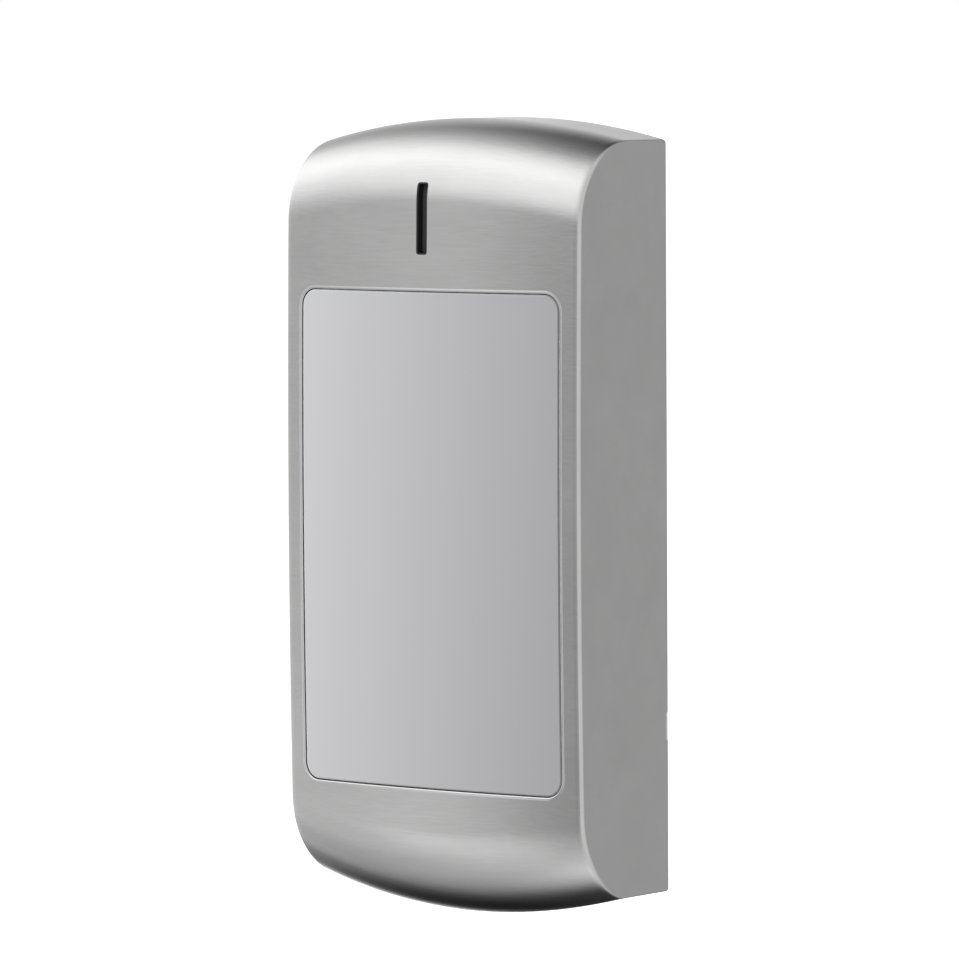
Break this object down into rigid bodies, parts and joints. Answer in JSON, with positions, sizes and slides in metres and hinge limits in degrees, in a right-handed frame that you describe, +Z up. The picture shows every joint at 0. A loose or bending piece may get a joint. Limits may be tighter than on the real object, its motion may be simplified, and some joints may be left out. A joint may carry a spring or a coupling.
{
  "type": "wall-mounted proximity card reader",
  "caption": "Narrow upright metal-cased proximity card reader with arched ends, a flat grey plastic reading window, a slot-shaped status lamp, a hooked wall plate and a locking screw below.",
  "frame": {"origin": "centre of the wall plate's rear face, on the wall", "axes": "+Z up along the reader's height, +X to the right seen from the front, +Y into the wall, front faces -Y"},
  "size_m": [0.056, 0.0237, 0.12],
  "materials": {
    "satin_nickel": "satin nickel on a zinc casting",
    "grey_panel_plastic": "fine matt, light grey",
    "smoked_plastic": "polished, smoked black",
    "black_plastic": "fine textured black",
    "white_plastic": "natural white",
    "zinc_plated_steel": "bright zinc plate",
    "stainless_steel": "bright turned",
    "black_rubber": "moulded, matt",
    "sealing_silicone": "soft, matt",
    "board_laminate": "green solder mask",
    "enamelled_copper": "enamelled winding wire",
    "ferrite": "dark grey, dull",
    "chip_epoxy": "moulded epoxy",
    "ceramic": "fired ceramic, tan",
    "can_metal": "drawn can",
    "red_lamp": "tinted epoxy lens",
    "green_lamp": "tinted epoxy lens"
  },
  "bodies": {
    "wall_side": {"wall_plate": "zinc_plated_steel", "cable_grommet": "black_rubber"},
    "housing": {"front_housing": "satin_nickel", "reading_panel": "grey_panel_plastic", "panel_tape": "sealing_silicone", "indicator_bezel": "black_plastic", "indicator_lens": "smoked_plastic", "light_shroud": "black_plastic", "lamp_red": "red_lamp", "lamp_green": "green_lamp", "circuit_board": "board_laminate", "coil_former": "black_plastic", "antenna_coil": "enamelled_copper", "ferrite_sheet": "ferrite", "buzzer": "black_plastic", "microcontroller": "chip_epoxy", "reader_chip": "chip_epoxy", "line_driver": "chip_epoxy", "crystal": "can_metal", "voltage_regulator": "chip_epoxy", "power_inductor": "ferrite", "surge_diode": "chip_epoxy", "smoothing_capacitor": "can_metal", "resistor_1": "chip_epoxy", "resistor_2": "chip_epoxy", "resistor_3": "chip_epoxy", "resistor_4": "chip_epoxy", "ceramic_capacitor_1": "ceramic", "ceramic_capacitor_2": "ceramic", "ceramic_capacitor_3": "ceramic", "ceramic_capacitor_4": "ceramic", "wire_header": "white_plastic", "tamper_switch": "black_plastic", "tamper_spring": "stainless_steel", "rear_cover": "black_plastic", "cover_seal": "sealing_silicone", "cover_screw_1": "stainless_steel", "cover_screw_2": "stainless_steel", "cover_screw_3": "stainless_steel", "cover_screw_4": "stainless_steel", "board_screw_1": "stainless_steel", "board_screw_2": "stainless_steel", "wall_seal": "black_rubber"},
    "lock_washer": {"lock_washer": "white_plastic"},
    "lock_screw": {"lock_screw": "stainless_steel"},
    "tamper_plunger": {"tamper_plunger": "white_plastic"}
  },
  "joints": [
    {"name": "housing_tilt", "type": "hinge", "parent": "wall_side", "child": "housing", "pos_m": [0, -0.0006, 0.06], "axis": [-1, 0, 0], "range_deg": [0, 15]},
    {"name": "screw_travel", "type": "slide", "parent": "wall_side", "child": "lock_washer", "axis": [0, 0, -1], "range_m": [0, 0.006]},
    {"name": "screw_turn", "type": "hinge", "parent": "lock_washer", "child": "lock_screw", "pos_m": [0, -0.0055, -0.056], "axis": [0, 0, -1], "range_deg": [0, 4320]},
    {"name": "tamper_push", "type": "slide", "parent": "housing", "child": "tamper_plunger", "axis": [0, 1, 0], "range_m": [0, 0.002], "stiffness_N_per_m": 60, "springref_m": 0.004, "deforming": ["tamper_spring"]}
  ],
  "couplings": [
    {"joint": "screw_turn", "follows": "screw_travel", "rad_per_m": 12566}
  ]
}
